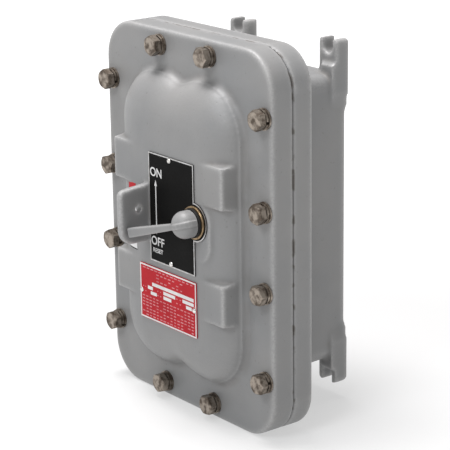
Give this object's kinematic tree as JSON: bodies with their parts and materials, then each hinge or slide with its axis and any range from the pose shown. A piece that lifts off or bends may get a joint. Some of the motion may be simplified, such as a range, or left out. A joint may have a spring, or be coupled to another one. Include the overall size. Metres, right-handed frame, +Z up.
{
  "type": "fused disconnect switch",
  "caption": "Cast, bolted enclosure holding a fused blade switch, with a domed cover, a side-turning lever handle, a padlock ear and slotted wall lugs.",
  "frame": {"origin": "centre of the flat back face that rests on the wall", "axes": "+Z up, the cover and handle face -Y, +Y points into the wall, +X is to the right seen from the front"},
  "size_m": [0.28, 0.2103, 0.406],
  "materials": {
    "grey_enamel_casting": "matte",
    "stainless_steel": "satin",
    "bronze": "satin",
    "black_rubber": "matte",
    "black_plate": "satin",
    "red_plate": "satin",
    "zinc_steel": "satin",
    "phenolic": "matte",
    "plated_copper": "satin",
    "fuse_body": "matte"
  },
  "bodies": {
    "enclosure": {"enclosure_body": "grey_enamel_casting", "cover": "grey_enamel_casting", "cover_bolt_01": "stainless_steel", "cover_bolt_02": "stainless_steel", "cover_bolt_03": "stainless_steel", "cover_bolt_04": "stainless_steel", "cover_bolt_05": "stainless_steel", "cover_bolt_06": "stainless_steel", "cover_bolt_07": "stainless_steel", "cover_bolt_08": "stainless_steel", "cover_bolt_09": "stainless_steel", "cover_bolt_10": "stainless_steel", "cover_bolt_11": "stainless_steel", "cover_bolt_12": "stainless_steel", "cover_washer_01": "stainless_steel", "cover_washer_02": "stainless_steel", "cover_washer_03": "stainless_steel", "cover_washer_04": "stainless_steel", "cover_washer_05": "stainless_steel", "cover_washer_06": "stainless_steel", "cover_washer_07": "stainless_steel", "cover_washer_08": "stainless_steel", "cover_washer_09": "stainless_steel", "cover_washer_10": "stainless_steel", "cover_washer_11": "stainless_steel", "cover_washer_12": "stainless_steel", "shaft_bushing": "bronze", "on_off_plate": "black_plate", "nameplate": "red_plate", "plate_screw_1": "zinc_steel", "plate_screw_2": "zinc_steel", "plate_screw_3": "zinc_steel", "plate_screw_4": "zinc_steel", "mounting_pan": "zinc_steel", "switch_base": "phenolic", "fuse_base": "phenolic", "line_terminal_1": "plated_copper", "line_terminal_2": "plated_copper", "line_terminal_3": "plated_copper", "hinge_terminal_1": "plated_copper", "hinge_terminal_2": "plated_copper", "hinge_terminal_3": "plated_copper", "load_terminal_1": "plated_copper", "load_terminal_2": "plated_copper", "load_terminal_3": "plated_copper", "cartridge_fuse_1": "fuse_body", "cartridge_fuse_2": "fuse_body", "cartridge_fuse_3": "fuse_body"},
    "handle": {"operating_handle": "grey_enamel_casting", "handle_pin": "stainless_steel", "operating_shaft": "stainless_steel", "shaft_o_ring": "black_rubber", "shaft_retaining_ring": "stainless_steel", "drive_crank": "zinc_steel"},
    "blades": {"rotor_shaft": "phenolic", "drive_yoke": "zinc_steel", "switch_blade_1": "plated_copper", "switch_blade_2": "plated_copper", "switch_blade_3": "plated_copper"}
  },
  "joints": [
    {"name": "handle_turn", "type": "hinge", "parent": "enclosure", "child": "handle", "pos_m": [0.049, -0.1723, 0.0195], "axis": [0, 1, 0], "range_deg": [-16, 44.5]},
    {"name": "blade_swing", "type": "hinge", "parent": "enclosure", "child": "blades", "pos_m": [0, -0.0591, 0.0195], "axis": [1, 0, 0], "range_deg": [-27.2, 9.8]}
  ],
  "couplings": [
    {"joint": "blade_swing", "follows": "handle_turn", "ratio": -0.61}
  ]
}
